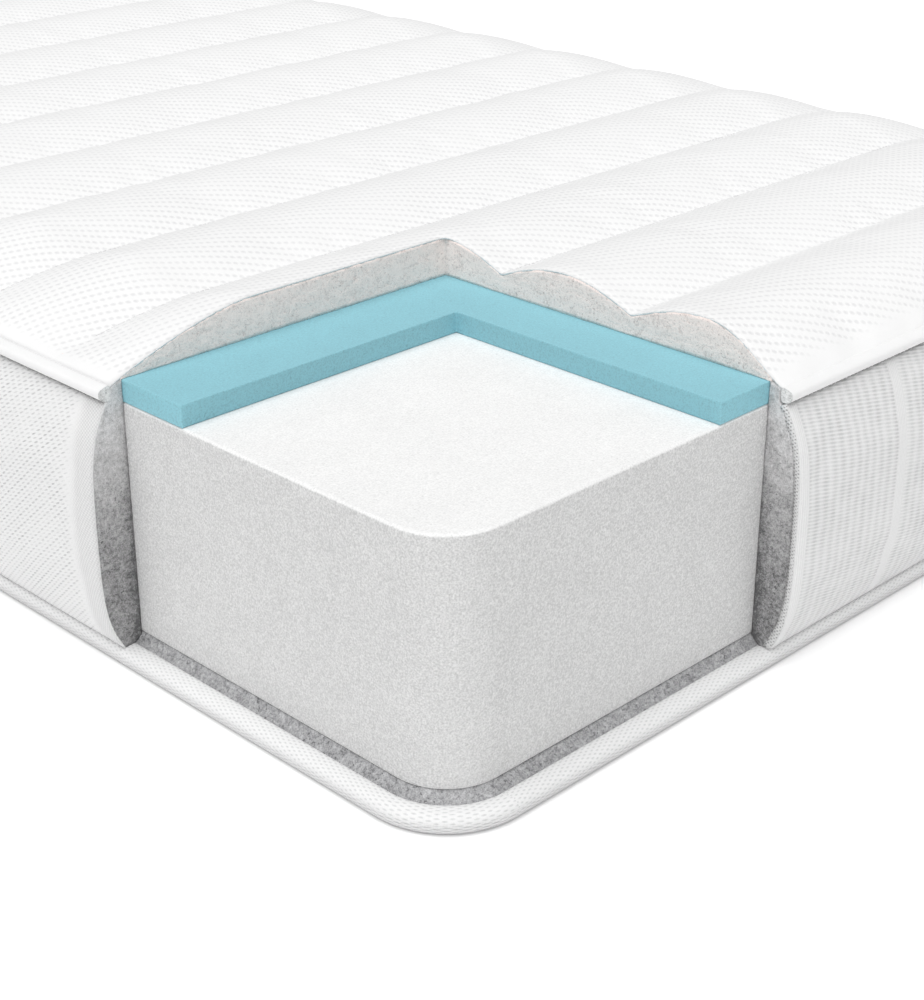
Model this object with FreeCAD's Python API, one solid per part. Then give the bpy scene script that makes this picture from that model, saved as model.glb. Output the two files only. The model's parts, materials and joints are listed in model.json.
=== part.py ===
import FreeCAD, Part
import math
import os

# Single foam mattress with one corner of its cover, quilt and memory foam cut away for display.
# Millimetres. +Z up, +Y along the length. The origin is under the middle of the base panel, where it rests.
# "out" is the distance outside the foam core's upright faces, "up" is the height above the floor.

# Overall size.
WIDTH = 900.0
LENGTH = 2000.0

# Foam core and the layers on it.
SIDE_PADDING = 28.0
CORE_CORNER_RADIUS = 40.0
BASE_PANEL_HEIGHT = 20.0
BASE_FOAM_HEIGHT = 160.0
MEMORY_FOAM_HEIGHT = 15.0
QUILT_CREST = 28.0
QUILT_VALLEY = 12.0

# Display cut, measured from the two core faces that meet at the cut corner.
QUILT_CUT_X = 275.0
QUILT_CUT_Y = 279.0
MEMORY_CUT_X = 228.0
MEMORY_CUT_Y = 221.0

# Quilting channels run across the width. The first seam is this far from the core's end face,
# and each seam's thread stops this far from the core's side faces.
FIRST_SEAM = 110.0
SEAM_COUNT = 16
SEAM_END = 24.0

# Cloth, thread and the room left between soft neighbours. The end panels have a thick spacer knit.
CLOTH = 1.2
END_CLOTH = 5.0
GAP = 0.5
THREAD_RADIUS = 0.5

# Side panel: its outline bulges between the two seams that pull it in.
PANEL_FOOT = 13.8
PANEL_HEAD = 183.6
PANEL_WIDEST_UP = 95.0
PANEL_FOOT_OUT = 14.5
PANEL_HEAD_OUT = 13.0
PANEL_STEPS = 10
SHOULDER_OUT = 8.0
JOIN_WIDTH = 1.2

# Rolled edge above the top seam.
ROLL_RADIUS = 4.3
ROLL_OUT = 13.3
ROLL_UP = 189.6

# Base panel's ledge and its lip.
LEDGE_OUT = 6.0
LEDGE_UP = 13.8
LIP_OUT = 17.6
LIP_UP = 7.0
LIP_FOOT_OUT = 11.0

core_x = WIDTH / 2 - SIDE_PADDING
core_y = LENGTH / 2 - SIDE_PADDING
straight_x = core_x - CORE_CORNER_RADIUS
straight_y = core_y - CORE_CORNER_RADIUS
base_top = BASE_PANEL_HEIGHT + BASE_FOAM_HEIGHT
memory_top = base_top + MEMORY_FOAM_HEIGHT
quilt_cut_at = (-core_x + QUILT_CUT_X, -core_y + QUILT_CUT_Y)
memory_cut_at = (-core_x + MEMORY_CUT_X, -core_y + MEMORY_CUT_Y)
UP = FreeCAD.Vector(0, 0, 1)


def face_of(points, place):
    """A flat face whose corners are the points, each turned into a vector by place."""
    corners = [place(*p) for p in points]
    return Part.Face(Part.makePolygon(corners + corners[:1]))


def block(low, high):
    size = [h - l for l, h in zip(low, high)]
    return Part.makeBox(*size, FreeCAD.Vector(*low))


def rounded_block(out, bottom, top):
    """An upright block that stands this far outside the core all round, with concentric corners."""
    x = core_x + out
    y = core_y + out
    solid = block((-x, -y, bottom), (x, y, top))
    upright = [e for e in solid.Edges if abs(e.tangentAt(e.FirstParameter).z) > 0.5]
    return solid.makeFillet(CORE_CORNER_RADIUS + out, upright)


def fused(solids):
    """One solid from pieces that meet face to face."""
    return solids[0].multiFuse(solids[1:]).removeSplitter()


# Each side's outward direction in degrees, half the distance to it, and half its straight length.
SIDES = {
    "right": (0, core_x, straight_y),
    "back": (90, core_y, straight_x),
    "left": (180, core_x, straight_y),
    "front": (270, core_y, straight_x),
}


def along_side(section, side, start=None, end=None):
    """Extrude a section of (out, up) points along a side, from start to end anticlockwise."""
    turn, distance, half = SIDES[side]
    start = -half if start is None else start
    end = half if end is None else end
    face = face_of(section, lambda out, up: FreeCAD.Vector(distance + out, start, up))
    solid = face.extrude(FreeCAD.Vector(0, end - start, 0))
    return solid.rotate(FreeCAD.Vector(), UP, turn)


def round_corner(section, side):
    """Turn a section through the corner at the anticlockwise end of a side."""
    turn, distance, half = SIDES[side]
    axis = FreeCAD.Vector(distance - CORE_CORNER_RADIUS, half, 0)
    face = face_of(section, lambda out, up: FreeCAD.Vector(distance + out, half, up))
    solid = face.revolve(axis, UP, 90)
    return solid.rotate(FreeCAD.Vector(), UP, turn)


def cut_loop(section):
    """Carry a section round the mattress, open at the display cut."""
    cut_x, cut_y = quilt_cut_at
    return fused([
        along_side(section, "front", start=cut_x),
        round_corner(section, "front"),
        along_side(section, "right"),
        round_corner(section, "right"),
        along_side(section, "back"),
        round_corner(section, "back"),
        along_side(section, "left", end=-cut_y),
    ])


def whole_loop(section):
    """Carry a section all the way round the mattress."""
    parts = []
    for side in SIDES:
        parts.append(along_side(section, side))
        parts.append(round_corner(section, side))
    return fused(parts)


def disc_points(out, up, radius, count=12):
    """Points of a small round section."""
    angles = [2 * math.pi * i / count for i in range(count)]
    return [(out + radius * math.cos(a), up + radius * math.sin(a)) for a in angles]


def panel_out(up):
    """How far the side panel's cloth stands outside the core at a height."""
    if up > PANEL_WIDEST_UP:
        end_out, end_up = PANEL_HEAD_OUT, PANEL_HEAD
    else:
        end_out, end_up = PANEL_FOOT_OUT, PANEL_FOOT
    share = (up - PANEL_WIDEST_UP) / (end_up - PANEL_WIDEST_UP)
    return end_out + (SIDE_PADDING - end_out) * (1 - share ** 4)


def panel_line(inset=0.0):
    """The side panel's outline from foot to head, moved towards the core by inset."""
    heights = [PANEL_FOOT + (PANEL_HEAD - PANEL_FOOT) * i / PANEL_STEPS for i in range(PANEL_STEPS + 1)]
    return [(panel_out(up) - inset, up) for up in heights]


def skin_section(line, thickness):
    """A band of even width on the core's side of a line of (out, up) points."""
    return line + [(out - thickness, up) for out, up in reversed(line)]


# Foams.
def base_foam_core():
    return rounded_block(0, BASE_PANEL_HEIGHT, base_top)


def memory_foam_layer():
    removed = block((-WIDTH, -LENGTH, base_top - 1), (*memory_cut_at, memory_top + 1))
    return rounded_block(0, base_top, memory_top).cut(removed)


# Base panel.
def lip_line():
    """The lip's outer line, from its inner edge on the ledge round to the floor."""
    return [
        (LEDGE_OUT, LEDGE_UP),
        (LIP_OUT - 6.6, LIP_UP + 6.2),
        (LIP_OUT - 3.1, LIP_UP + 5.6),
        (LIP_OUT - 1.0, LIP_UP + 3.5),
        (LIP_OUT, LIP_UP),
        (LIP_OUT - 1.3, LIP_UP - 3.9),
        (LIP_FOOT_OUT, 0),
    ]


def bottom_ticking():
    inner = [
        (LIP_FOOT_OUT, CLOTH),
        (LIP_OUT - 2.4, LIP_UP - 3.3),
        (LIP_OUT - CLOTH, LIP_UP),
        (LIP_OUT - 2.0, LIP_UP + 2.9),
        (LIP_OUT - 3.8, LIP_UP + 4.5),
        (LIP_OUT - 6.9, LIP_UP + 5.1),
        (LEDGE_OUT, LEDGE_UP - CLOTH),
    ]
    inward = -CORE_CORNER_RADIUS / 2
    lip = whole_loop(lip_line() + [(inward, 0), (inward, CLOTH)] + inner)
    sheet = rounded_block(inward, 0, CLOTH)
    return fused([lip, sheet])


def bottom_wadding():
    floor = CLOTH + GAP
    inward = -CORE_CORNER_RADIUS / 2
    edge = [
        (inward, floor),
        (LIP_FOOT_OUT - 0.5, floor),
        (LIP_OUT - 3.2, LIP_UP - 2.8),
        (LIP_OUT - CLOTH - GAP, LIP_UP),
        (LIP_OUT - 4.2, LIP_UP + 3.9),
        (LEDGE_OUT, LEDGE_UP - CLOTH - GAP),
        (0, BASE_PANEL_HEIGHT),
        (inward, BASE_PANEL_HEIGHT),
    ]
    return fused([whole_loop(edge), rounded_block(inward, floor, BASE_PANEL_HEIGHT)])


# Side panels. The two long ones carry the rounded corners; the end ones are straight.
def wadding_section(cloth):
    """The felt behind a side panel's cloth, with a shoulder that fills the edge of the top panel."""
    shoulder_out = min(SHOULDER_OUT, PANEL_HEAD_OUT - cloth - GAP)
    shoulder_top = memory_top - GAP
    inner_foot = (GAP, BASE_PANEL_HEIGHT)
    foot = (LEDGE_OUT, LEDGE_UP + GAP)
    shoulder = [(shoulder_out, PANEL_HEAD + 1), (shoulder_out, shoulder_top), (GAP, shoulder_top)]
    return [inner_foot, foot] + panel_line(cloth + GAP) + shoulder


def cloth_section(cloth):
    return skin_section(panel_line(), cloth)


def side_panels(make_section):
    """The four side panels by name, from a function that gives their section for a thickness of cloth."""
    cut_x, cut_y = quilt_cut_at
    long_section = make_section(CLOTH)
    end_section = make_section(END_CLOTH)
    joined = straight_x - JOIN_WIDTH
    right = [
        round_corner(long_section, "front"),
        along_side(long_section, "right"),
        round_corner(long_section, "right"),
    ]
    left = [
        round_corner(long_section, "back"),
        along_side(long_section, "left", end=-cut_y),
    ]
    return {
        "right": fused(right),
        "left": fused(left),
        "front": along_side(end_section, "front", start=cut_x, end=joined),
        "back": along_side(end_section, "back", start=-joined, end=joined),
    }


def join_seam(side, at_end):
    """The upright stitched join that fills the gap between an end panel and a long panel."""
    middle = straight_x - JOIN_WIDTH / 2
    if not at_end:
        middle = -middle
    return along_side(cloth_section(CLOTH), side, middle - THREAD_RADIUS, middle + THREAD_RADIUS)


# Quilted top panel.
def channel_seams():
    first = -core_y + FIRST_SEAM
    pitch = -2 * first / (SEAM_COUNT - 1)
    return [first + pitch * i for i in range(SEAM_COUNT)]


def end_slope(inset):
    """The top panel's rise from its end seam to the first crest."""
    return [
        (-core_y - SHOULDER_OUT + inset, memory_top),
        (-core_y + inset, memory_top + 4),
        (-core_y + 21 + inset, memory_top + 20.5 - inset),
    ]


def side_slope(inset):
    """The top panel's rise from its side seam to its full height."""
    crest = memory_top + QUILT_CREST - inset
    return [
        (-core_x - SHOULDER_OUT + inset, memory_top),
        (-core_x + inset, memory_top + 4.5),
        (-core_x + 22 + inset, memory_top + 12 - inset),
        (-core_x + 61 + inset, memory_top + 19 - inset),
        (-core_x + 105 + inset, crest),
    ]


def channelled(inset):
    """The top panel's lengthwise outline, a crest between each pair of seams, drawn out across the width."""
    valley = memory_top + QUILT_VALLEY - inset
    crest = memory_top + QUILT_CREST - inset
    start, shoulder, rise = [FreeCAD.Vector(-WIDTH, y, z) for y, z in end_slope(inset)]
    valleys = [FreeCAD.Vector(-WIDTH, y, valley) for y in channel_seams()]
    first = valleys[0]
    crest_at = FreeCAD.Vector(-WIDTH, (rise.y + first.y) / 2 - 5, crest - 1)
    front = [Part.makeLine(start, shoulder), Part.makeLine(shoulder, rise)]
    front.append(Part.Arc(rise, crest_at, first).toShape())
    back = [e.mirror(FreeCAD.Vector(), FreeCAD.Vector(0, 1, 0)) for e in front]
    edges = front + back
    for a, b in zip(valleys, valleys[1:]):
        middle = FreeCAD.Vector(-WIDTH, (a.y + b.y) / 2, crest)
        edges.append(Part.Arc(a, middle, b).toShape())
    edges.append(Part.makeLine(start, FreeCAD.Vector(-WIDTH, -start.y, start.z)))
    outline = Part.Wire(Part.sortEdges(edges)[0])
    return Part.Face(outline).extrude(FreeCAD.Vector(2 * WIDTH, 0, 0))


def quilt_block(inset):
    """The top panel's bulk, with its skin taken off to the depth of inset."""
    slope = side_slope(inset)
    outline = slope + [(-x, z) for x, z in reversed(slope)]
    sloped = face_of(outline, lambda x, z: FreeCAD.Vector(x, -LENGTH, z))
    sloped = sloped.extrude(FreeCAD.Vector(0, 2 * LENGTH, 0))
    plan = rounded_block(SHOULDER_OUT - inset, memory_top, memory_top + 2 * QUILT_CREST)
    removed = block((-WIDTH, -LENGTH, memory_top - 1), (*quilt_cut_at, memory_top + 2 * QUILT_CREST))
    return channelled(inset).common(sloped).common(plan).cut(removed)


def top_wadding():
    return quilt_block(CLOTH + GAP)


def top_ticking():
    return quilt_block(0).cut(quilt_block(CLOTH))


def quilt_thread(y):
    """One line of quilting thread, lying in its valley from side to side or from the display cut."""
    cut_x, cut_y = quilt_cut_at
    end = core_x - SEAM_END
    start = cut_x if y < cut_y else -end
    up = memory_top + QUILT_VALLEY + THREAD_RADIUS + 0.3
    return Part.makeCylinder(THREAD_RADIUS, end - start, FreeCAD.Vector(start, y, up), FreeCAD.Vector(1, 0, 0))


def build():
    """Every piece of the mattress, by the name of its node."""
    pieces = {
        "base_foam_core": base_foam_core(),
        "memory_foam_layer": memory_foam_layer(),
        "bottom_ticking": bottom_ticking(),
        "bottom_wadding": bottom_wadding(),
        "top_wadding": top_wadding(),
        "top_ticking": top_ticking(),
        "top_edge_roll": cut_loop(disc_points(ROLL_OUT, ROLL_UP, ROLL_RADIUS)),
        "top_seam_thread": cut_loop(disc_points(PANEL_HEAD_OUT, PANEL_HEAD + 0.9, THREAD_RADIUS, 8)),
        "bottom_seam_thread": cut_loop(disc_points(PANEL_FOOT_OUT + 1.4, PANEL_FOOT + 0.4, THREAD_RADIUS, 8)),
        "border_join_front_right": join_seam("front", True),
        "border_join_back_right": join_seam("back", False),
        "border_join_back_left": join_seam("back", True),
    }
    for name, solid in side_panels(wadding_section).items():
        pieces[f"border_wadding_{name}"] = solid
    for name, solid in side_panels(cloth_section).items():
        pieces[f"border_ticking_{name}"] = solid
    for number, y in enumerate(channel_seams(), 1):
        pieces[f"quilt_thread_{number:02d}"] = quilt_thread(y)
    return pieces


os.makedirs("parts", exist_ok=True)
for name, shape in build().items():
    shape.exportStep(f"parts/{name}.step")
    print(name, shape.isValid(), len(shape.Solids), round(shape.Volume / 1000), "cm3")
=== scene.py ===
import json
import math
import bpy
import numpy as np
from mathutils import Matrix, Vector, noise


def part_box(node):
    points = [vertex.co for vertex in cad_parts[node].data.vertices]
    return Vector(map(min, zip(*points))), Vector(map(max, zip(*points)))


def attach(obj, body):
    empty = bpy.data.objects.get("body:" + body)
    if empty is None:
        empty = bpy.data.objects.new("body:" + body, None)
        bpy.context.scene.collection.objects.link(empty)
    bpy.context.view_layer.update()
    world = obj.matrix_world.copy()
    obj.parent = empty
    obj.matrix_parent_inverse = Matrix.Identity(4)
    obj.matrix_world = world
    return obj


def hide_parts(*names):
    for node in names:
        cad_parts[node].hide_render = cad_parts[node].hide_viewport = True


# A single foam mattress with one corner of its cover, quilt and memory foam cut away for display.
# Metres, in the frame of the CAD model. "out" is the distance outside the foam core's upright faces,
# "up" is the height above the floor, and "along" is the distance walked anticlockwise round the core's
# outline, which starts where the front face's flat part starts, beside the cut corner.

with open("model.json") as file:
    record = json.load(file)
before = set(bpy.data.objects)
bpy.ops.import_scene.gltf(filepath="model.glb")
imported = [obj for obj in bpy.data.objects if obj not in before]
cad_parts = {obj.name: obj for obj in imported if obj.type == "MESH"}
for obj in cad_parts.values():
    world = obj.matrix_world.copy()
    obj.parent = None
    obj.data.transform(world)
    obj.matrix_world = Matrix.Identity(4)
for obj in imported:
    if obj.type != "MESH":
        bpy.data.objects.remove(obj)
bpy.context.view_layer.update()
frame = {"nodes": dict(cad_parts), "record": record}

MM = 0.001

# Sizes and places that the CAD model gives.
core_low, core_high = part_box("base_foam_core")
memory_low, memory_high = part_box("memory_foam_layer")
cut_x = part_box("border_ticking_front")[0].x
cut_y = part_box("border_ticking_left")[0].y
core_half_x = core_high.x
core_half_y = core_high.y
quilt_base = memory_high.z
seam_nodes = sorted(node for node in frame["nodes"] if node.startswith("quilt_thread_"))
seam_ys = [(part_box(node)[0].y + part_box(node)[1].y) / 2 for node in seam_nodes]
seam_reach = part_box(seam_nodes[-1])[1].x
openings = {opening["name"]: opening["box_m"] for opening in frame["record"]["physics"]["openings"]}
OPENING_ROOM = 2 * MM
memory_cut_x = openings["display_cut_in_memory_foam"][1][0] + OPENING_ROOM
memory_cut_y = openings["display_cut_in_memory_foam"][1][1] + OPENING_ROOM

# Foam.
CORE_CORNER_RADIUS = 40 * MM
CORE_EDGE = 2.2 * MM
MEMORY_EDGE = 0.9 * MM
ARC_STEPS = 14
FOAM_GRAIN = 1.1 * MM
FOAM_PORES = FOAM_GRAIN * 1.9

# Side panels: the cloth bulges between the seams at its foot and head.
PANEL_FOOT = (14.3 * MM, 13.1 * MM)
PANEL_HEAD = (13.0 * MM, 183.8 * MM)
PANEL_WIDEST = (28 * MM, 95 * MM)
CLOTH = 1.2 * MM
END_CLOTH = 5.0 * MM
JOIN_WIDTH = 1.2 * MM
PANEL_STEP_ALONG = 8 * MM
PANEL_STEPS_UP = 28

# Quilted top. Its outer cloth rises from the rolled edge to the channels' crests.
QUILT_EDGE_OUT = 10.2 * MM
QUILT_EDGE_UP = 193.3 * MM
QUILT_VALLEY = 14 * MM
QUILT_RISE = 15 * MM
CHANNEL_POWER = 1.9
VALLEY_ROUNDING = 0.05
SIDE_FALL = 110.2 * MM
SIDE_FALL_POWER = 1.5
END_FALL = 58.5 * MM
END_FALL_POWER = 1.25
QUILT_STEP_X = 10 * MM
QUILT_STEPS_PER_CHANNEL = 14

# Felt.
FELT_SLACK = 0.4 * MM
FELT_OVERLAP = 0.1 * MM
FELT_FUZZ = 0.35 * MM
FELT_GRAIN = 2.2 * MM
FELT_SHOULDER = 9.2 * MM
QUILT_FELT_INSET = 9 * MM

# Rolled edge: a flat, sloping roll that carries on the quilt's slope and hangs over the top seam.
ROLL_SECTION = MM * np.array([
    (8.7, 194.4), (14.0, 193.1), (17.3, 191.6), (18.0, 189.3), (17.3, 186.6), (14.4, 184.2), (9.0, 183.8),
])

# Base panel: a felt ledge round the core's foot, and the lip of cloth round the ledge.
LEDGE_INNER = (-1 * MM, 20.2 * MM)
LEDGE_OUTER = (7.6 * MM, 12.4 * MM)
LIP_TUCK = (4.6 * MM, 12.2 * MM)
LIP_TOP = (6.0 * MM, 14.2 * MM)
LIP_OUTER = (17.6 * MM, 7.0 * MM)
LIP_FOOT = (11.0 * MM, 0.0)
LIP_POWER = 3

# Stitches.
STITCH = 3.2 * MM
STITCH_GAP = 0.8 * MM
THREAD_RADIUS = 0.4 * MM
SEAM_THREAD_RADIUS = 0.45 * MM
TOP_SEAM = (14.5 * MM, 184.2 * MM)
BOTTOM_SEAM = (14.9 * MM, 13.5 * MM)
JOIN_ZIGZAG = 1.1 * MM

# Knits. Each pair of sets of slanting rows is (rows a metre along u, rows a metre along v).
TOP_DASH_ROWS = (190, -70), (-65, -125)
EYELET_ROWS = (225, 265), (90, 385)
END_COLUMN_PITCH = 8.6 * MM
END_STROKE_PITCH = 2.45 * MM

# Light, floor and camera. A light's direction points from the mattress to the light.
SKY = 0.35
TOP_LIGHT = 2.4
TOP_LIGHT_FROM = (-0.25, -0.1, 1)
FRONT_LIGHT = 0.35
FRONT_LIGHT_FROM = (-0.6, -0.55, 0.45)
LIGHT_SPREAD = math.radians(60)
FLOOR_GLOW = 0.15
FLOOR_REACH = 300
CAMERA_PLACE = (-1.03865, -1.60091, 0.62828)
CAMERA_TURN = (math.radians(64.5), 0, math.radians(-45))
CAMERA_LENS = 68.97
SENSOR_WIDTH = 36

# Colours, as (red, green, blue): each finish runs from its dark one to its light one.
WHITE_FOAM = (0.55, 0.55, 0.55), (0.90, 0.90, 0.895)
BLUE_FOAM = (0.20, 0.36, 0.41), (0.285, 0.575, 0.655)
BORDER_FELT = (0.12, 0.12, 0.122), (0.72, 0.715, 0.72)
QUILT_FELT = (0.58, 0.48, 0.455), (1.0, 0.875, 0.83)
BASE_FELT = (0.14, 0.14, 0.145), (0.58, 0.58, 0.59)
ROLL_FELT = (0.40, 0.395, 0.39), (0.95, 0.94, 0.93)
TOP_KNIT = (0.71, 0.71, 0.715), (0.84, 0.84, 0.84)
LONG_SIDE_KNIT = (0.50, 0.50, 0.505), (0.78, 0.78, 0.78)
END_KNIT = (0.50, 0.50, 0.505), (0.80, 0.80, 0.80)
# The base knit's dark colour is also the painted contact shadow at the lip's foot.
BASE_KNIT = (0.36, 0.36, 0.365), (0.80, 0.80, 0.80)
SPACER_EDGE = (0.38, 0.38, 0.38), (0.74, 0.74, 0.74)
CLOTH_EDGE = (0.70, 0.70, 0.70), (0.84, 0.84, 0.84)
SMOOTH_CLOTH = (0.79, 0.79, 0.79), (0.85, 0.85, 0.85)
GREY_THREAD = (0.22, 0.22, 0.22), (0.38, 0.38, 0.38)
WHITE_THREAD = (0.70, 0.70, 0.70), (0.84, 0.84, 0.84)
PALE_FLOOR = (0.92, 0.92, 0.92, 1)

# Cloth simulation.
SETTLE_FRAMES = 20
QUILT_PRESSURE = 2.0
QUILT_GROWTH = 0.004
PANEL_PRESSURE = 2.0
PANEL_GROWTH = 0.005
MOST_OUTWARD = 2.5 * MM
MOST_INWARD = 0.4 * MM


# ---------------------------------------------------------------------------------------------- outline

flat_x = core_half_x - CORE_CORNER_RADIUS
flat_y = core_half_y - CORE_CORNER_RADIUS
corner_length = CORE_CORNER_RADIUS * math.pi / 2
run_lengths = [2 * flat_x, corner_length, 2 * flat_y, corner_length] * 2
knots = np.concatenate([[0], np.cumsum(run_lengths)])
outline_length = knots[-1]
knot_turns = np.radians([-90, -90, 0, 0, 90, 90, 180, 180, 270])
knot_xs = flat_x * np.array([-1, 1, 1, 1, 1, -1, -1, -1, -1])
knot_ys = flat_y * np.array([-1, -1, -1, 1, 1, 1, 1, -1, -1])

PANEL_RUNS = {
    "front": (cut_x + flat_x, knots[1] - JOIN_WIDTH),
    "right": (knots[1], knots[4]),
    "back": (knots[4] + JOIN_WIDTH, knots[5] - JOIN_WIDTH),
    "left": (knots[5], knots[6] + flat_y - cut_y),
}
END_PANELS = ("front", "back")
COVER_START = PANEL_RUNS["front"][0]
COVER_END = PANEL_RUNS["left"][1]


def outline(along):
    """Points on the core's outline at these distances along it, and its outward directions there."""
    turn = np.interp(along, knots, knot_turns)
    outward = np.stack([np.cos(turn), np.sin(turn)], axis=-1)
    centre = np.stack([np.interp(along, knots, knot_xs), np.interp(along, knots, knot_ys)], axis=-1)
    return centre + CORE_CORNER_RADIUS * outward, outward


def sweep(along, section):
    """The points of a section of (out, up) pairs carried along the outline, one row for each distance."""
    base, outward = outline(np.asarray(along))
    section = np.broadcast_to(section, (len(base),) + np.shape(section)[-2:])
    flat = base[:, None, :] + outward[:, None, :] * section[..., :1]
    return np.concatenate([flat, section[..., 1:]], axis=-1)


def spaced(start, end, step):
    """Evenly spaced numbers from start to end, about one step apart."""
    return np.linspace(start, end, max(2, round(abs(end - start) / step) + 1))


def lengths_along(points):
    """The distance along a line of points, at each of them."""
    steps = np.linalg.norm(np.diff(points, axis=0), axis=-1)
    return np.concatenate([[0], np.cumsum(steps)])


def resampled(points, count):
    """The line through these points, as this many evenly spaced ones."""
    points = np.asarray(points)
    walked = lengths_along(points)
    wanted = np.linspace(0, walked[-1], count)
    return np.stack([np.interp(wanted, walked, column) for column in points.T], axis=-1)


def grain(points, size):
    """Smooth noise from -1 to 1 at these points, with features of this size."""
    flat = np.asarray(points).reshape(-1, 3) / size
    values = [noise.noise(Vector(point)) for point in flat]
    return np.array(values).reshape(np.shape(points)[:-1])


# ----------------------------------------------------------------------------------------------- meshes


def new_piece(name, points, faces, weave=None):
    """A smooth mesh. weave holds a pair of metres for each corner of each face, for the knit patterns."""
    mesh = bpy.data.meshes.new(name)
    mesh.from_pydata([tuple(point) for point in points], [], [tuple(face) for face in faces])
    if weave is not None:
        layer = mesh.uv_layers.new(name="weave")
        layer.uv.foreach_set("vector", np.asarray(weave, dtype=np.float32).ravel())
    mesh.shade_smooth()
    piece = bpy.data.objects.new(name, mesh)
    bpy.context.collection.objects.link(piece)
    return piece


def grid_faces(rows_at, columns_at, close_rows=None, close_columns=None):
    """The quads of a grid of points stored row by row, and each quad corner's place in the weave.

    close_rows or close_columns is the place where that way round closes on itself.
    """
    rows, columns = len(rows_at), len(columns_at)
    if close_rows is not None:
        rows_at = np.append(rows_at, close_rows)
    if close_columns is not None:
        columns_at = np.append(columns_at, close_columns)
    i, j = np.meshgrid(np.arange(len(rows_at) - 1), np.arange(len(columns_at) - 1), indexing="ij")
    corners = [(i, j), (i + 1, j), (i + 1, j + 1), (i, j + 1)]
    faces = np.stack([(a % rows) * columns + b % columns for a, b in corners], axis=-1)
    weave = np.stack([np.stack([rows_at[a], columns_at[b]], axis=-1) for a, b in corners], axis=-2)
    return faces.reshape(-1, 4), weave.reshape(-1, 2)


def corner_cut(points, times):
    """A closed outline with its corners cut off this many times over, which makes it round."""
    for _ in range(times):
        after = np.roll(points, -1, axis=0)
        cut = [points * 0.75 + after * 0.25, points * 0.25 + after * 0.75]
        points = np.stack(cut, axis=1).reshape(-1, 2)
    return points


def tube(name, points):
    """A closed tube through rows of points, each row one ring. Its flat ends take the second material."""
    rings, around = points.shape[:2]
    faces, _ = grid_faces(np.arange(rings), np.arange(around), close_columns=around)
    ends = [list(range(around))[::-1], list(range((rings - 1) * around, rings * around))]
    piece = new_piece(name, points.reshape(-1, 3), list(faces) + ends)
    for cap in piece.data.polygons[-2:]:
        cap.material_index = 1
    piece.data.set_sharp_from_angle(angle=math.radians(40))
    return piece


def face_outward(piece):
    """Turns a closed mesh's faces to look outward."""
    bpy.context.view_layer.objects.active = piece
    piece.select_set(True)
    bpy.ops.object.mode_set(mode="EDIT")
    bpy.ops.mesh.select_all(action="SELECT")
    bpy.ops.mesh.normals_make_consistent(inside=False)
    bpy.ops.object.mode_set(mode="OBJECT")
    piece.select_set(False)


def slab(name, outline_points, low, high, edge):
    """A flat block of foam with this outline, its edges rounded a little."""
    count = len(outline_points)
    points = [(x, y, z) for z in (low, high) for x, y in outline_points]
    sides = [(i, (i + 1) % count, (i + 1) % count + count, i + count) for i in range(count)]
    ends = [list(range(count))[::-1], list(range(count, 2 * count))]
    piece = new_piece(name, points, sides + ends)
    bevel = piece.modifiers.new("edges", "BEVEL")
    bevel.width = edge
    bevel.segments = 4
    bevel.limit_method = "ANGLE"
    bevel.angle_limit = math.radians(30)
    bevel.harden_normals = True
    return piece


def thicken(piece, thickness):
    """Gives a sheet its thickness, inward from its outer face. The cut edge takes the second material."""
    solidify = piece.modifiers.new("thickness", "SOLIDIFY")
    solidify.thickness = thickness
    solidify.offset = -1
    solidify.use_even_offset = True
    solidify.material_offset_rim = 1


def smooth_once(piece):
    """One subdivision, which keeps the sheet's own corners."""
    smooth = piece.modifiers.new("smooth", "SUBSURF")
    smooth.levels = 1
    smooth.render_levels = 1
    smooth.boundary_smooth = "PRESERVE_CORNERS"


def settle_cloth(piece, held, pressure, growth):
    """Lets a sheet swell and pucker between its held points, then keeps it near where it started."""
    mesh = piece.data
    start = np.empty((len(mesh.vertices), 3))
    mesh.vertices.foreach_get("co", start.ravel())
    outward = np.empty_like(start)
    mesh.vertices.foreach_get("normal", outward.ravel())
    group = piece.vertex_groups.new(name="held")
    group.add([int(index) for index in held], 1.0, "REPLACE")
    cloth = piece.modifiers.new("settle", "CLOTH")
    cloth.settings.quality = 4
    cloth.settings.mass = 0.1
    cloth.settings.tension_stiffness = 20
    cloth.settings.compression_stiffness = 20
    cloth.settings.shear_stiffness = 10
    cloth.settings.bending_stiffness = 2
    cloth.settings.vertex_group_mass = "held"
    cloth.settings.use_pressure = True
    cloth.settings.uniform_pressure_force = pressure
    cloth.settings.shrink_min = -growth
    cloth.settings.effector_weights.gravity = 0
    cloth.collision_settings.use_collision = False
    cloth.point_cache.frame_start = 1
    cloth.point_cache.frame_end = SETTLE_FRAMES
    for step in range(1, SETTLE_FRAMES + 1):
        bpy.context.scene.frame_set(step)
    settled = np.empty_like(start)
    shown = piece.evaluated_get(bpy.context.evaluated_depsgraph_get())
    shown.data.vertices.foreach_get("co", settled.ravel())
    moved = settled - start
    lift = (moved * outward).sum(axis=1)
    kept = np.clip(lift, -MOST_INWARD, MOST_OUTWARD)
    mesh.vertices.foreach_set("co", (start + outward * kept[:, None]).ravel())
    piece.modifiers.remove(cloth)
    piece.vertex_groups.remove(group)
    mesh.update()
    bpy.context.scene.frame_set(1)


# ------------------------------------------------------------------------------------------------- foam


def make_base_foam():
    turns = [np.linspace(knots[i], knots[i + 1], ARC_STEPS) for i in (1, 3, 5, 7)]
    points, _ = outline(np.concatenate(turns))
    return slab("base_foam", points, core_low.z, core_high.z, CORE_EDGE)


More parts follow.
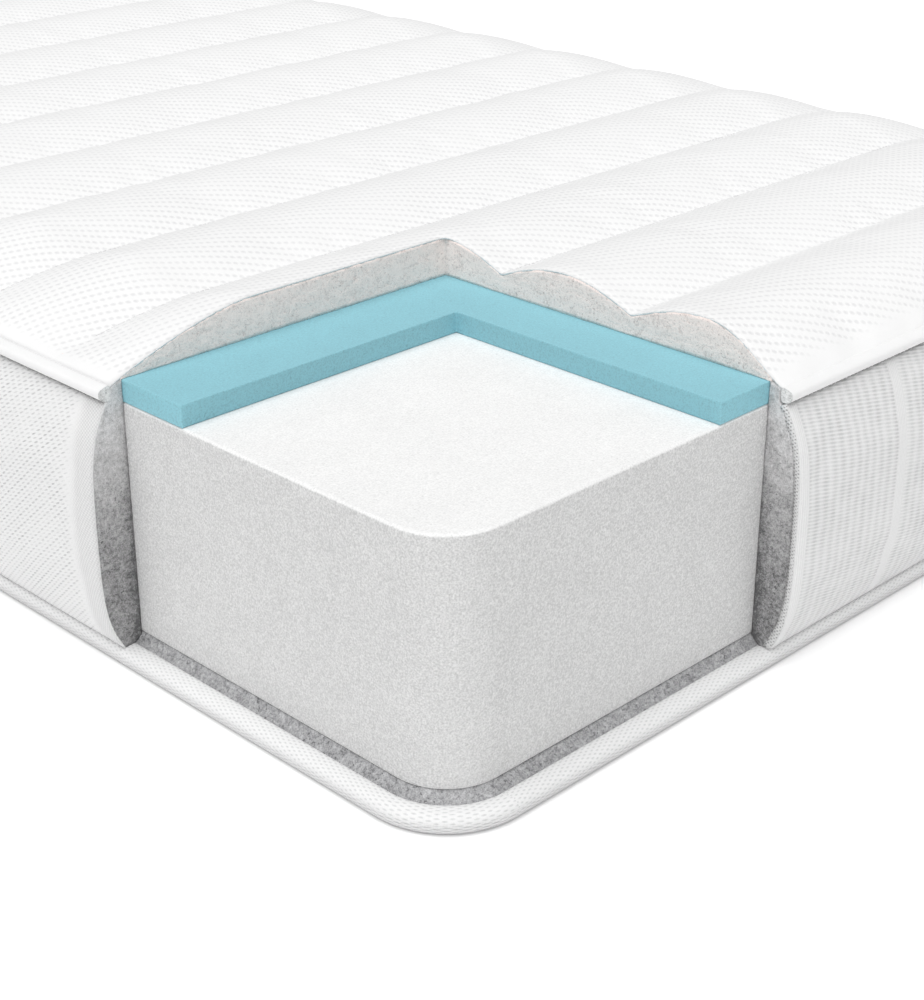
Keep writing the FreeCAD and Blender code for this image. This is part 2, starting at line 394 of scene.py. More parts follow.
def make_memory_foam():
    """The memory foam layer: the core's outline less the square that is cut out for display."""
    start = memory_cut_x + flat_x
    end = knots[6] + flat_y - memory_cut_y
    turns = [np.linspace(knots[i], knots[i + 1], ARC_STEPS) for i in (1, 3, 5)]
    points, _ = outline(np.concatenate([[start], *turns, [end]]))
    points = np.vstack([points, [memory_cut_x, memory_cut_y]])
    return slab("memory_foam", points, memory_low.z, memory_high.z, MEMORY_EDGE)


# ------------------------------------------------------------------------------------------ side panels


def panel_out(up):
    """How far out the cloth of a side panel stands at this height."""
    low = up < PANEL_WIDEST[1]
    end_out = np.where(low, PANEL_FOOT[0], PANEL_HEAD[0])
    end_up = np.where(low, PANEL_FOOT[1], PANEL_HEAD[1])
    share = (up - PANEL_WIDEST[1]) / (end_up - PANEL_WIDEST[1])
    return end_out + (PANEL_WIDEST[0] - end_out) * (1 - share**4)


def panel_cloth(name):
    return END_CLOTH if name in END_PANELS else CLOTH


def panel_section():
    """The outer line of a side panel's cloth, from its foot to its head."""
    up = np.linspace(PANEL_FOOT[1], PANEL_HEAD[1], PANEL_STEPS_UP + 1)
    return np.stack([panel_out(up), up], axis=-1)


def make_border_ticking(name):
    """The cloth of one side panel, held along its seams and ends."""
    start, end = PANEL_RUNS[name]
    along = spaced(start, end, PANEL_STEP_ALONG)
    section = panel_section()
    points = sweep(along, section)
    from_cut = end - along if name == "left" else along - start
    faces, weave = grid_faces(from_cut, lengths_along(section))
    piece = new_piece(f"border_cloth_{name}", points.reshape(-1, 3), faces, weave)
    index = np.arange(points.shape[0] * points.shape[1]).reshape(points.shape[:2])
    held = np.concatenate([index[0], index[-1], index[:, 0], index[:, -1]])
    settle_cloth(piece, np.unique(held), PANEL_PRESSURE, PANEL_GROWTH)
    smooth_once(piece)
    thicken(piece, panel_cloth(name))
    return piece


def quilt_underside(out):
    """Height of the underside of the top panel's cloth near its edge, this far outside the core."""
    share = (QUILT_EDGE_OUT - out) / SIDE_FALL
    rise = 1 - (1 - share) ** SIDE_FALL_POWER
    return QUILT_EDGE_UP + (quilt_base + QUILT_VALLEY + QUILT_RISE - QUILT_EDGE_UP) * rise - CLOTH


def felt_section(name, rows, across, slack):
    """A side panel's felt in section: rows of points from foot to head, slack clear of its cloth."""
    cloth = panel_cloth(name) + slack
    shoulder = min(FELT_SHOULDER, PANEL_HEAD[0] - cloth) - slack
    up = np.linspace(PANEL_FOOT[1] + FELT_SLACK, PANEL_HEAD[1], rows)
    outer = list(np.stack([panel_out(up) - cloth, up], axis=-1))
    outer += [(shoulder, PANEL_HEAD[1] + MM), (shoulder, quilt_underside(shoulder) - slack)]
    head = min(quilt_underside(0) - slack, quilt_base + FELT_SLACK)
    foot = (LIP_TOP[0] - FELT_SLACK, LIP_TOP[1] + FELT_SLACK)
    inner = [foot, (FELT_SLACK, LEDGE_INNER[1] - MM), (FELT_SLACK, head)]
    share = np.linspace(0, 1, across)[None, :, None]
    return resampled(inner, rows)[:, None] * (1 - share) + resampled(outer, rows)[:, None] * share


def make_border_felt(name):
    """The felt of one side panel: a curved block with fine, rough cut ends."""
    start, end = PANEL_RUNS[name]
    rows, across = 84, 11
    index = np.arange(rows * across).reshape(rows, across)
    rim = np.concatenate([index[0], index[1:-1, -1], index[-1][::-1], index[1:-1, 0][::-1]])
    inside = np.setdiff1d(index, rim)
    along = spaced(start, end, 2 * PANEL_STEP_ALONG)
    rings = sweep(along, felt_section(name, rows, across, FELT_SLACK).reshape(-1, 2)[rim])
    ends = sweep([start, end], felt_section(name, rows, across, -FELT_OVERLAP).reshape(-1, 2))
    for ring, cap, sign in ((0, 0, -1), (-1, 1, 1)):
        _, outward = outline(np.array([along[ring]]))
        forward = np.array([-outward[0, 1], outward[0, 0], 0])
        rough = sign * FELT_FUZZ * (grain(ends[cap], FELT_GRAIN) + grain(ends[cap], 3 * FELT_GRAIN))
        ends[cap] += rough[:, None] * forward
        rings[ring] = ends[cap][rim]
    faces, _ = grid_faces(np.arange(len(along)), np.arange(len(rim)), close_columns=len(rim))
    points = [rings.reshape(-1, 3), ends[0][inside], ends[1][inside]]
    faces = [tuple(face) for face in faces]
    cap_faces, _ = grid_faces(np.arange(rows), np.arange(across))
    for cap, ring_start in ((0, 0), (1, (len(along) - 1) * len(rim))):
        place = np.empty(rows * across, dtype=int)
        place[rim] = ring_start + np.arange(len(rim))
        place[inside] = rings.shape[0] * rings.shape[1] + cap * len(inside) + np.arange(len(inside))
        faces += [tuple(place[face]) for face in cap_faces]
    piece = new_piece(f"border_felt_{name}", np.concatenate(points), faces)
    face_outward(piece)
    return piece


# ------------------------------------------------------------------------------------------ quilted top

first_seam = seam_ys[0]
channel = (seam_ys[-1] - first_seam) / (len(seam_ys) - 1)
edge_x = core_half_x + QUILT_EDGE_OUT
edge_y = core_half_y + QUILT_EDGE_OUT


def half_width(y, inset=0.0):
    """Half the width of the top panel at y, with its rounded corners, less an inset all round."""
    radius = CORE_CORNER_RADIUS + QUILT_EDGE_OUT - inset
    beyond = np.clip((np.abs(y) - flat_y) / radius, 0, 1)
    return flat_x + radius * np.sqrt(1 - beyond**2)


def quilt_up(x, y):
    """Height of the outer face of the top panel's cloth."""
    from_seam = np.where(
        np.abs(y) < -first_seam,
        2 * np.mod((y - first_seam) / channel, 1) - 1,
        np.clip(1 - (np.abs(y) + first_seam) / (channel / 2), 0, 1),
    )
    swell = 1 - np.abs(from_seam) ** CHANNEL_POWER
    swell = np.sqrt(swell**2 + VALLEY_ROUNDING**2) - VALLEY_ROUNDING
    full = quilt_base + QUILT_VALLEY + QUILT_RISE * swell
    side_room = edge_x - np.abs(x)
    end_room = edge_y - np.abs(y)
    side_rise = 1 - (1 - np.clip(side_room / SIDE_FALL, 0, 1)) ** SIDE_FALL_POWER
    end_rise = np.sin(math.pi / 2 * np.clip(end_room / END_FALL, 0, 1)) ** END_FALL_POWER
    in_x = np.clip(np.abs(x) - flat_x, 0, None)
    in_y = np.clip(np.abs(y) - flat_y, 0, None)
    radius = CORE_CORNER_RADIUS + QUILT_EDGE_OUT
    tiny = 1e-9
    corner = np.clip((radius - np.hypot(in_x, in_y)) / (radius - np.maximum(in_x, in_y) + tiny), 0, 1)
    return QUILT_EDGE_UP + (full - QUILT_EDGE_UP) * side_rise * end_rise * corner


def quilt_rows(steps, inset=0.0):
    """The y of each row of the top panel's grid, close together at the seams and the rounded ends."""
    crowd = np.sin(np.linspace(-math.pi / 2, math.pi / 2, steps + 1))
    rows = [seam_ys[0]]
    for low, high in zip(seam_ys, seam_ys[1:]):
        rows += list((low + high) / 2 + (high - low) / 2 * crowd[1:])
    radius = CORE_CORNER_RADIUS + QUILT_EDGE_OUT - inset
    arc = flat_y + radius * np.sin(np.linspace(math.pi / 2, 0, steps // 2 + 2))
    rest = np.linspace(flat_y, -seam_ys[0], steps // 2 + 1)[1:-1]
    end = np.concatenate([arc, rest])
    rows = np.concatenate([-end, rows, end[::-1]])
    rows[np.argmin(np.abs(rows - cut_y))] = cut_y
    return rows


def quilt_grid(rows, left_shares, right_shares, inset=0.0):
    """The top panel as a grid with the display cut left out: x, y, quads, and the row and column of the cut.

    left_shares run from the left edge to the cut, and right_shares from the cut to the right edge.
    """
    half = half_width(rows, inset)[:, None]
    left = -half + (cut_x + half) * left_shares[None, :]
    right = cut_x + (half - cut_x) * right_shares[None, 1:]
    xs = np.concatenate([left, right], axis=1)
    ys = np.broadcast_to(rows[:, None], xs.shape)
    cut_row = int(np.argmin(np.abs(rows - cut_y)))
    cut_column = len(left_shares) - 1
    faces, _ = grid_faces(np.arange(xs.shape[0]), np.arange(xs.shape[1]))
    row, column = faces[:, 0] // xs.shape[1], faces[:, 0] % xs.shape[1]
    faces = faces[(row >= cut_row) | (column >= cut_column)][:, ::-1]
    return xs, ys, faces, cut_row, cut_column


def make_top_ticking():
    """The quilted cloth, held along its seams, edges and cuts while it swells a little."""
    rows = quilt_rows(QUILT_STEPS_PER_CHANNEL)
    left = spaced(0, 1, QUILT_STEP_X / (edge_x + cut_x))
    right = spaced(0, 1, QUILT_STEP_X / (edge_x - cut_x))
    xs, ys, faces, cut_row, cut_column = quilt_grid(rows, left, right)
    ups = quilt_up(xs, ys)
    points = np.stack([xs, ys, ups], axis=-1)
    walked = lengths_along(np.stack([rows, quilt_up(np.zeros_like(rows), rows)], axis=-1))
    weave = np.stack([xs, np.broadcast_to(walked[:, None], xs.shape)], axis=-1).reshape(-1, 2)
    index = np.arange(xs.size).reshape(xs.shape)
    seam_rows = [int(np.argmin(np.abs(rows - y))) for y in seam_ys]
    held = [index[0], index[-1], index[:, 0], index[:, -1], index[: cut_row + 1, cut_column]]
    held += [index[cut_row, : cut_column + 1]] + [index[row] for row in seam_rows]
    used, packed = np.unique(faces, return_inverse=True)
    weave = weave[faces.ravel()]
    piece = new_piece("top_cloth", points.reshape(-1, 3)[used], packed.reshape(faces.shape), weave)
    held = np.searchsorted(used, np.intersect1d(np.concatenate(held), used))
    settle_cloth(piece, held, QUILT_PRESSURE, QUILT_GROWTH)
    smooth_once(piece)
    thicken(piece, CLOTH)
    return piece


def make_top_felt():
    """The quilt's felt: the cloth's shape below, with fine, rough faces at the display cut."""
    rows = quilt_rows(2 * QUILT_STEPS_PER_CHANNEL, QUILT_FELT_INSET)
    left = spaced(0, 1, FELT_GRAIN / (edge_x + cut_x))
    right = spaced(0, 1, 2 * QUILT_STEP_X / (edge_x - cut_x))
    xs, ys, faces, cut_row, cut_column = quilt_grid(rows, left, right, QUILT_FELT_INSET)
    near_cut = np.clip(1 - np.minimum(np.abs(xs - cut_x), np.abs(ys - cut_y)) / (20 * MM), 0, 1)
    drop = CLOTH + (MOST_INWARD + FELT_SLACK) * (1 - near_cut) - FELT_OVERLAP * near_cut
    ups = np.maximum(quilt_up(xs, ys) - drop, quilt_base + FELT_SLACK)
    points = np.stack([xs, ys, ups], axis=-1).reshape(-1, 3)
    index = np.arange(xs.size).reshape(xs.shape)
    rim = np.concatenate([
        index[0, cut_column:-1],
        index[:-1, -1],
        index[-1, :0:-1],
        index[cut_row + 1 :, 0][::-1],
        index[cut_row, :cut_column],
        index[1 : cut_row + 1, cut_column][::-1],
    ])
    steps = 14
    foot = quilt_base + FELT_SLACK / 2
    share = np.linspace(0, 1, steps)[:, None, None]
    low = np.concatenate([points[rim][:, :2], np.full((len(rim), 1), foot)], axis=1)
    wall = points[rim][None] * (1 - share) + low[None] * share
    rough = FELT_FUZZ * (grain(wall, FELT_GRAIN) + grain(wall, 3 * FELT_GRAIN))
    on_x = (np.abs(wall[..., 0] - cut_x) < MM) & (wall[..., 1] < cut_y)
    on_y = (np.abs(wall[..., 1] - cut_y) < MM) & (wall[..., 0] < cut_x)
    wall[..., 0] += np.where(on_x, rough, 0)
    wall[..., 1] += np.where(on_y, rough, 0)
    points[rim] = wall[0]
    used, packed = np.unique(faces, return_inverse=True)
    first = np.searchsorted(used, rim)
    count = len(rim)
    wall_index = np.vstack([first, len(used) + np.arange((steps - 1) * count).reshape(steps - 1, count)])
    after = np.roll(wall_index, -1, axis=1)
    walls = np.stack([wall_index[:-1], wall_index[1:], after[1:], after[:-1]], axis=-1).reshape(-1, 4)
    faces = list(packed.reshape(faces.shape)) + list(walls) + [wall_index[-1]]
    piece = new_piece("top_felt", np.concatenate([points[used], wall[1:].reshape(-1, 3)]), faces)
    face_outward(piece)
    return piece


# --------------------------------------------------------------------------------- rolled edge, base panel


def make_roll():
    """The smooth rolled edge, a little uneven, and cut off flat at the display cut."""
    along = spaced(COVER_START, COVER_END, 6 * MM)
    base, _ = outline(along)
    wobble = grain(np.concatenate([base, np.zeros((len(base), 1))], axis=1), 45 * MM)
    ring = corner_cut(ROLL_SECTION, 2)
    middle = ring.mean(axis=0)
    section = middle + (ring - middle) * (1 + 0.03 * wobble)[:, None, None]
    piece = tube("rolled_edge", sweep(along, section))
    face_outward(piece)
    return piece


def quarter(centre, half, power, start, end, steps):
    """Points on part of a superellipse, between two angles in degrees."""
    angle = np.radians(np.linspace(start, end, steps))
    x = np.sign(np.cos(angle)) * np.abs(np.cos(angle)) ** (2 / power)
    y = np.sign(np.sin(angle)) * np.abs(np.sin(angle)) ** (2 / power)
    return np.stack([centre[0] + half[0] * x, centre[1] + half[1] * y], axis=-1)


def lip_section():
    """The lip's outer line, from under the felt ledge, over the lip and down to the floor."""
    top = quarter((LIP_TOP[0], LIP_OUTER[1]), (LIP_OUTER[0] - LIP_TOP[0], LIP_TOP[1] - LIP_OUTER[1]),
                  LIP_POWER, 90, 0, 15)
    low = quarter((LIP_FOOT[0], LIP_OUTER[1]), (LIP_OUTER[0] - LIP_FOOT[0], LIP_OUTER[1] - LIP_FOOT[1]),
                  2, 0, -90, 9)
    return np.concatenate([[LIP_TUCK], top, low[1:], [(LIP_FOOT[0] - 5 * MM, LIP_FOOT[1])]])


def make_base_ticking():
    """The base panel's cloth: one sheet under the mattress, wrapped up round its edge as a lip."""
    along = spaced(0, outline_length, 5 * MM)[:-1]
    section = lip_section()
    points = sweep(along, section)
    faces, weave = grid_faces(along, lengths_along(section), close_rows=outline_length)
    last = (np.arange(len(along)) * len(section) + len(section) - 1)[::-1]
    under = points[::-1, -1, :2]
    weave = weave.reshape(-1, 4, 2)[:, ::-1].reshape(-1, 2)
    piece = new_piece(
        "base_cloth",
        points.reshape(-1, 3),
        [tuple(face[::-1]) for face in faces] + [tuple(last)],
        np.concatenate([weave, under]),
    )
    thicken(piece, CLOTH)
    return piece


def make_base_felt():
    """The base panel's felt: a thin slab whose edge shows as a rough ledge round the core's foot."""
    along = spaced(0, outline_length, 2.5 * MM)[:-1]
    inner, outer = np.array(LEDGE_INNER), np.array(LEDGE_OUTER)
    share = np.linspace(0, 1, 7)[:, None]
    ledge = inner * (1 - share) + outer * share
    under = [(6.0 * MM, 4.0 * MM), (0.0, CLOTH + FELT_SLACK)]
    section = np.concatenate([ledge, under])
    points = sweep(along, section)
    rough = FELT_FUZZ * (grain(points[:, 1:6], FELT_GRAIN) + grain(points[:, 1:6], 3 * FELT_GRAIN))
    points[:, 1:6, 2] += rough
    rows, columns = points.shape[:2]
    faces, _ = grid_faces(np.arange(rows), np.arange(columns), close_rows=rows)
    start = np.arange(rows) * columns
    caps = [tuple(start), tuple((start + columns - 1)[::-1])]
    piece = new_piece("base_felt", points.reshape(-1, 3), [tuple(face) for face in faces] + caps)
    face_outward(piece)
    return piece


# ---------------------------------------------------------------------------------------------- stitches


def stitch_mesh(name, starts, ends, radius=THREAD_RADIUS):
    """One mesh of many separate stitches, each a short swollen strand from its start to its end."""
    starts, ends = np.asarray(starts), np.asarray(ends)
    line = ends - starts
    side = np.cross(line, [0.0, 0.0, 1.0])
    weak = np.linalg.norm(side, axis=1) < 1e-6
    side[weak] = np.cross(line[weak], [1.0, 0.0, 0.0])
    side /= np.linalg.norm(side, axis=1, keepdims=True)
    other = np.cross(line, side)
    other /= np.linalg.norm(other, axis=1, keepdims=True)
    places, swells, sides = (0.12, 0.5, 0.88), (0.75, 1.0, 0.75), 6
    turns = np.linspace(0, 2 * math.pi, sides, endpoint=False)
    rings = []
    for place, swell in zip(places, swells):
        ring = side[:, None] * np.cos(turns)[:, None] + other[:, None] * np.sin(turns)[:, None]
        rings.append((starts + line * place)[:, None] + ring * radius * swell)
    body = np.concatenate(rings, axis=1)
    each = np.concatenate([body, starts[:, None], ends[:, None]], axis=1)
    size = each.shape[1]
    ring_faces, _ = grid_faces(np.arange(len(places)), np.arange(sides), close_columns=sides)
    around = [(k, (k + 1) % sides) for k in range(sides)]
    last = (len(places) - 1) * sides
    tips = [(b, a, size - 2) for a, b in around] + [(last + a, last + b, size - 1) for a, b in around]
    pattern = [tuple(face) for face in ring_faces] + tips
    faces = [tuple(k * size + v for v in face) for k in range(len(starts)) for face in pattern]
    piece = new_piece(name, each.reshape(-1, 3), faces)
    face_outward(piece)
    return piece


def stitch_ends(low, high):
    """Where each stitch of a row from low to high starts and ends."""
    count = int((high - low) / (STITCH + STITCH_GAP))
    pitch = (high - low) / count
    starts = low + pitch * np.arange(count) + STITCH_GAP / 2
    return starts, starts + pitch - STITCH_GAP


def make_quilt_stitches(node, y):
    low = -seam_reach if y > cut_y else cut_x + MM
    starts, ends = stitch_ends(low, seam_reach)
    lift = 0.15 * MM

    def on_seam(x):
        return np.stack([x, np.full_like(x, y), quilt_up(x, np.full_like(x, y)) + lift], axis=-1)

    return stitch_mesh(node.replace("quilt_thread", "quilt_stitches"), on_seam(starts), on_seam(ends))


def make_seam_stitches(name, place):
    starts, ends = stitch_ends(COVER_START + MM, COVER_END - MM)
    seam = np.array([place])
    return stitch_mesh(name, sweep(starts, seam)[:, 0], sweep(ends, seam)[:, 0], SEAM_THREAD_RADIUS)


def make_join_stitches(name, along):
    """A zigzag of stitches up the join of two side panels."""
    low, high = stitch_ends(PANEL_FOOT[1] + MM, PANEL_HEAD[1] - MM)
    lean = np.where(np.arange(len(low)) % 2 == 0, JOIN_ZIGZAG, -JOIN_ZIGZAG)
    lift = 0.2 * MM

    def on_panel(up, sideways):
        return np.concatenate([
            sweep([along + shift], [[panel_out(height) + lift, height]])[0]
            for height, shift in zip(up, sideways)
        ])

    return stitch_mesh(name, on_panel(low, lean), on_panel(high, -lean))


# --------------------------------------------------------------------------------------------- materials


class Field:
    """A number that varies over a surface: a node's output that can be used in sums."""

    def __init__(self, tree, socket):
        self.tree = tree
        self.socket = socket

    def math(self, operation, *others):
        node = self.tree.nodes.new("ShaderNodeMath")
        node.operation = operation
        for socket, value in zip(node.inputs, (self, *others)):
            if isinstance(value, Field):
                self.tree.links.new(value.socket, socket)
            else:
                socket.default_value = value
        return Field(self.tree, node.outputs[0])

    def __add__(self, other):
        return self.math("ADD", other)

    def __sub__(self, other):
        return self.math("SUBTRACT", other)

    def __rsub__(self, other):
        return self.math("MULTIPLY_ADD", -1.0, other)

    def __mul__(self, other):
        return self.math("MULTIPLY", other)

    def __truediv__(self, other):
        return self.math("DIVIDE", other)

    __radd__ = __add__
    __rmul__ = __mul__

    def span(self, low, high, to_low=0.0, to_high=1.0):
        """Smoothly from to_low at low to to_high at high, and level beyond."""
        node = self.tree.nodes.new("ShaderNodeMapRange")
        node.interpolation_type = "SMOOTHSTEP"
        self.tree.links.new(self.socket, node.inputs["Value"])
        for name, value in (("From Min", low), ("From Max", high), ("To Min", to_low), ("To Max", to_high)):
            node.inputs[name].default_value = value
        return Field(self.tree, node.outputs["Result"])


class Finish:
    """One material, built from fields."""

    def __init__(self, name, roughness, sheen=0.0):
        self.material = bpy.data.materials.new(name)
        self.material.use_nodes = True
        self.tree = self.material.node_tree
        self.shader = self.tree.nodes["Principled BSDF"]
        self.shader.inputs["Roughness"].default_value = roughness
        self.shader.inputs["Specular IOR Level"].default_value = 0.25
        self.shader.inputs["Sheen Weight"].default_value = sheen
        self.shader.inputs["Sheen Roughness"].default_value = 0.5

    def place(self, kind):
        """The three fields of "Object" coordinates or the "UV" weave, in metres."""
        coordinates = self.tree.nodes.new("ShaderNodeTexCoord")
        split = self.tree.nodes.new("ShaderNodeSeparateXYZ")
        self.tree.links.new(coordinates.outputs[kind], split.inputs[0])
        return [Field(self.tree, output) for output in split.outputs]

    def outside_core(self):
        """How far the surface is outside the foam core's nearest upright face."""
        x, y, _ = self.place("Object")
        return (x.math("ABSOLUTE") - core_half_x).math("MAXIMUM", y.math("ABSOLUTE") - core_half_y)

    def noise(self, size, detail=2.0):
        """Noise with features of about this size in metres."""
        coordinates = self.tree.nodes.new("ShaderNodeTexCoord")
        texture = self.tree.nodes.new("ShaderNodeTexNoise")
        texture.inputs["Scale"].default_value = 1 / size
        texture.inputs["Detail"].default_value = detail
        self.tree.links.new(coordinates.outputs["Object"], texture.inputs["Vector"])
        return Field(self.tree, texture.outputs[0])

    def colour(self, field, at_none, at_full):
        """Colours the surface from at_none where the field is 0 to at_full where it is 1."""
        mix = self.tree.nodes.new("ShaderNodeMix")
        mix.data_type = "RGBA"
        for socket in mix.inputs:
            if socket.type == "RGBA" and socket.name == "A":
                socket.default_value = (*at_none, 1)
            if socket.type == "RGBA" and socket.name == "B":
                socket.default_value = (*at_full, 1)
        output = next(socket for socket in mix.outputs if socket.type == "RGBA")
        factor = next(s for s in mix.inputs if s.type == "VALUE" and s.name == "Factor")
        self.tree.links.new(field.socket, factor)
        self.tree.links.new(output, self.shader.inputs["Base Color"])

    def relief(self, field, depth):
        """Raises the surface by the field times depth, in metres."""
        bump = self.tree.nodes.new("ShaderNodeBump")
        bump.inputs["Distance"].default_value = depth
        bump.inputs["Strength"].default_value = 1.0
        self.tree.links.new(field.socket, bump.inputs["Height"])
        self.tree.links.new(bump.outputs[0], self.shader.inputs["Normal"])


def lattice(u, v, rows_one, rows_two):
    """Place in a cell of a lattice, in cells from its middle.

    Each of the two sets of rows is (rows a metre along u, rows a metre along v).
    """
    one = u * rows_one[0] + v * rows_one[1]
    two = u * rows_two[0] + v * rows_two[1]
    return one.math("FRACT") - 0.5, two.math("FRACT") - 0.5


def staggered(pitch_u, pitch_v):
    """The two sets of rows of a lattice whose columns are half a pitch up and down from each other."""
    return (1 / (2 * pitch_u), 1 / pitch_v), (-1 / (2 * pitch_u), 1 / pitch_v)


def oval(across, along, width, height):
    """A soft oval spot: 1 at its middle, 0 outside. Its half sizes are in cells."""
    away = (across / width).math("POWER", 2.0) + (along / height).math("POWER", 2.0)
    return (1.0 - away).math("MAXIMUM", 0.0)


def ridges(place, pitch):
    """Even ridges, from 0 to 1."""
    return (place * (2 * math.pi / pitch)).math("SINE") * 0.5 + 0.5


def foam_finish(name, colours, side_painted_shade):
    """Cut open-cell foam: a fine even grain with sparse pores, and slight clouds of tone.

    The saw leaves the upright faces with more open cells: they are rougher. Their tone also carries a painted
    shade: upright faces are painted darker than the top, or lighter when that shade is negative, for how the
    light falls on them.
    """
    finish = Finish(name, 0.95)
    upright = 1.0 - finish.place("Normal")[2].math("ABSOLUTE").span(0.1, 0.7)
    fine = finish.noise(FOAM_GRAIN, 2) - 0.5
    pores = finish.noise(FOAM_PORES, 1).span(0.36, 0.26)
    clouds = finish.noise(28 * MM, 2) - 0.5
    # Painted shade: the upright faces' tone is lowered by the side term, darker than the top because they get
    # less light; a negative term paints them lighter.
    tone = 0.75 + fine * (upright * 0.7 + 1.0) + clouds * 0.15 - pores * 0.2 - upright * side_painted_shade
    finish.colour(tone, *colours)
    finish.relief((fine - pores * 0.4) * (upright * 0.6 + 0.4), 0.35 * MM)
    return finish.material


def felt_finish(name, colours, pale, contrast, painted_grading=False):
    """Needled felt of mixed fibres: fine, cloudy, with small dark flecks.

    pale is the share of the light colour. With painted grading, the felt is painted paler towards its head as
    painted light, and darker near the foam core as painted shade.
    """
    finish = Finish(name, 1.0, sheen=0.1)
    clouds = finish.noise(9 * MM, 3) - 0.5
    tufts = finish.noise(2.4 * MM, 2) - 0.5
    fibres = finish.noise(0.9 * MM, 2) - 0.5
    flecked = finish.noise(2.1 * MM, 1).span(0.60, 0.72) * finish.noise(16 * MM, 1).span(0.40, 0.60)
    tone = pale + (clouds * 0.8 + tufts * 1.1 + fibres * 1.3 - flecked * 0.5) * contrast
    if painted_grading:
        # Painted shade and light: the tone is lowered within 11 mm of the core's faces, where shade falls,
        # and raised with height towards the head.
        painted_shade_near_core = finish.outside_core().span(0, 11 * MM, 1.0, 0.0)
        tone = tone + finish.place("Object")[2].span(60 * MM, 200 * MM) * 0.6 - painted_shade_near_core * 0.2
    finish.colour(tone.math("MAXIMUM", 0.0), *colours)
    finish.relief(fibres + tufts, 0.4 * MM)
    return finish.material


def top_knit_finish():
    """White jacquard knit: slanting rows of small sunk dashes, plain near its edges."""
    finish = Finish("top_knit_cloth", 0.9, sheen=0.2)
    u, v, _ = finish.place("UV")
    dashes = oval(*lattice(u, v, *TOP_DASH_ROWS), 0.42, 0.26)
    inner = finish.outside_core().span(-4 * MM, 4 * MM, 1.0, 0.0)
    patchy = finish.noise(60 * MM, 2).span(0.3, 0.7, 0.7, 1.0)
    fuzz = finish.noise(1.1 * MM, 2) - 0.5
    marks = dashes * patchy * inner
    finish.colour(1.0 - marks + fuzz * 0.3, *TOP_KNIT)
    finish.relief(fuzz * 0.2 - marks, 0.3 * MM)
    return finish.material


def long_side_knit_finish(name, beside_cut):
    """White openwork knit with slanting rows of small eyelets. Beside the cut it is hatched instead."""
    finish = Finish(name, 0.9, sheen=0.2)
    u, v, _ = finish.place("UV")
    steep, flat = EYELET_ROWS
    second = (u * (steep[0] / 2) + v * (steep[1] / 2)).math("FRACT").math("GREATER_THAN", 0.5)
    eyelets = oval(*lattice(u, v, steep, flat), 0.30, 0.36) * (1.0 - second * 0.4)
    shown = finish.noise(30 * MM, 2).span(0.25, 0.75, 0.6, 1.0)
    fuzz = finish.noise(1.0 * MM, 2) - 0.5
    holes = eyelets * shown
    if beside_cut:
        hatched = u.span(14 * MM, 25 * MM, 1.0, 0.0)
        open_knit = u.span(20 * MM, 32 * MM)
        hatch = ridges(u + v * 0.6, 2.3 * MM) * 0.5 + ridges(u * 0.4 - v, 1.9 * MM) * 0.5
        holes = holes * open_knit + hatch * hatched * 0.65
    finish.colour(1.0 - holes + fuzz * 0.5, *LONG_SIDE_KNIT)
    finish.relief(fuzz * 0.2 - holes, 0.4 * MM)
    return finish.material


def end_knit_finish(name, beside_cut):
    """White spacer knit: upright columns of short flat strokes. Beside the cut it has plain, ribbed bands."""
    finish = Finish(name, 0.9, sheen=0.2)
    u, v, _ = finish.place("UV")
    wander = finish.noise(30 * MM, 2) * (4 * MM)
    columns = ridges(u + wander, END_COLUMN_PITCH)
    strokes = ridges(u * 0.2 + v, END_STROKE_PITCH)
    threads = ridges(u, 1.7 * MM)
    fuzz = finish.noise(1.2 * MM, 2) - 0.5
    uneven = finish.noise(14 * MM, 2).span(0.3, 0.7, 0.6, 1.0)
    marks = columns * 0.14 + (columns * 0.4 + 0.6) * strokes * uneven * 0.68
    if beside_cut:
        beside = u.span(8 * MM, 10 * MM, 1.0, 0.0)
        far = (u - 110 * MM).math("ABSOLUTE").span(4 * MM, 6 * MM, 1.0, 0.0)
        plain = beside.math("MAXIMUM", far)
        marks = marks * (1.0 - plain) + threads * plain * 0.25
    finish.colour(1.0 - marks + fuzz * 0.4, *END_KNIT)
    finish.relief(fuzz * 0.2 - marks * 1.5, 0.4 * MM)
    return finish.material


def spacer_edge_finish():
    """The cut edge of the spacer knit: rows of small dark holes between its two faces."""
    finish = Finish("spacer_edge", 0.95)
    _, y, z = finish.place("Object")
    across, along = lattice(y, z, *staggered(2.0 * MM, 2.4 * MM))
    holes = oval(across, along, 0.36, 0.36)
    uneven = finish.noise(3 * MM, 2).span(0.25, 0.5)
    tone = 1.0 - holes * uneven
    finish.colour(tone, *SPACER_EDGE)
    finish.relief(tone, 0.6 * MM)
    return finish.material


def cloth_edge_finish():
    """The thin cut edge of the other cloths: pale, with a loose fuzz of yarn ends."""
    finish = Finish("cloth_edge", 0.95)
    fuzz = finish.noise(1.4 * MM, 3)
    finish.colour(fuzz.span(0.3, 0.6), *CLOTH_EDGE)
    finish.relief(fuzz, 0.5 * MM)
    return finish.material


